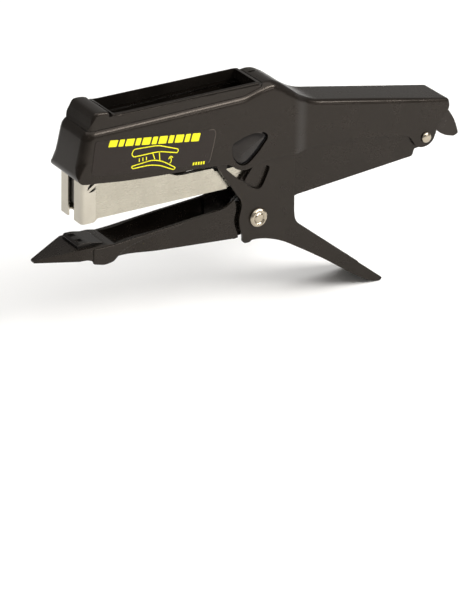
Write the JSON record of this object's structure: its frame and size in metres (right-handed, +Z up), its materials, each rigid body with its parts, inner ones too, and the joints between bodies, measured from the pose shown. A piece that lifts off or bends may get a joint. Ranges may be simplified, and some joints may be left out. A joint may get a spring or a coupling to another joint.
{
  "type": "plier stapler",
  "caption": "Plier stapler with crossed lower lever, hollow body and handle, top loading opening, nickel magazine, pointed anvil jaw and rear claw.",
  "frame": {"origin": "centre of the bounding box, at its bottom", "axes": "-X towards the nose, +X towards the handles, +Z up, Y across; the label is on the -Y side"},
  "size_m": [0.298, 0.0329, 0.1526],
  "materials": {
    "satin_black_steel": "satin black, baked",
    "anvil_black_gloss": "gloss black hardened steel",
    "rivet_nickel": "nickel plated",
    "bright_steel": "bright steel",
    "spring_steel": "spring wire",
    "black_lever_steel": "satin black, baked",
    "black_body_enamel": "semi-gloss warm black",
    "black_rim_enamel": "semi-gloss black",
    "gloss_black_insert": "glossy black",
    "claw_black": "semi-gloss black",
    "label_print": "printed film, dark with yellow marks",
    "nickel_plate": "warm nickel plate",
    "nose_nickel": "warm nickel plate",
    "pusher_steel": "satin steel"
  },
  "bodies": {
    "jaw": {"jaw_frame": "satin_black_steel", "anvil": "anvil_black_gloss", "main_rivet": "rivet_nickel", "rear_rivet": "rivet_nickel", "main_sleeve": "bright_steel", "rear_sleeve": "bright_steel", "return_spring": "spring_steel"},
    "lever": {"lower_lever": "black_lever_steel", "thrust_pin": "bright_steel"},
    "body": {"body_shell": "black_body_enamel", "loading_rim": "black_rim_enamel", "pocket_insert_left": "gloss_black_insert", "pocket_insert_right": "gloss_black_insert", "thrust_saddle": "bright_steel", "driver_blade": "bright_steel", "driver_clamp": "bright_steel", "clamp_screw": "rivet_nickel", "claw": "claw_black", "label": "label_print", "magazine_pin": "bright_steel", "magazine_spring": "spring_steel"},
    "magazine": {"magazine": "nickel_plate", "nose_plate": "nose_nickel", "staple_core": "bright_steel", "pusher_rod": "bright_steel", "pusher_spring": "spring_steel"},
    "pusher": {"pusher": "pusher_steel"}
  },
  "joints": [
    {"name": "lever_squeeze", "type": "hinge", "parent": "jaw", "child": "lever", "pos_m": [-0.002, 0, 0.0632], "axis": [0, -1, 0], "range_deg": [0, 30], "stiffness_Nm_per_rad": 2, "springref_deg": -20.05, "deforming": ["return_spring"]},
    {"name": "body_close", "type": "hinge", "parent": "jaw", "child": "body", "pos_m": [0.1188, 0, 0.0902], "axis": [0, -1, 0], "range_deg": [0, 5]},
    {"name": "magazine_lift", "type": "hinge", "parent": "body", "child": "magazine", "pos_m": [0.035, 0, 0.1132], "axis": [0, 1, 0], "range_deg": [0, 2.9], "deforming": ["magazine_spring"]},
    {"name": "pusher_slide", "type": "slide", "parent": "magazine", "child": "pusher", "axis": [1, 0, 0], "range_m": [0, 0.095], "stiffness_N_per_m": 30, "springref_m": -0.12, "deforming": ["pusher_spring"]}
  ],
  "couplings": [
    {"joint": "body_close", "follows": "lever_squeeze", "ratio": 0.16667},
    {"joint": "magazine_lift", "follows": "lever_squeeze", "ratio": 0.096667}
  ]
}
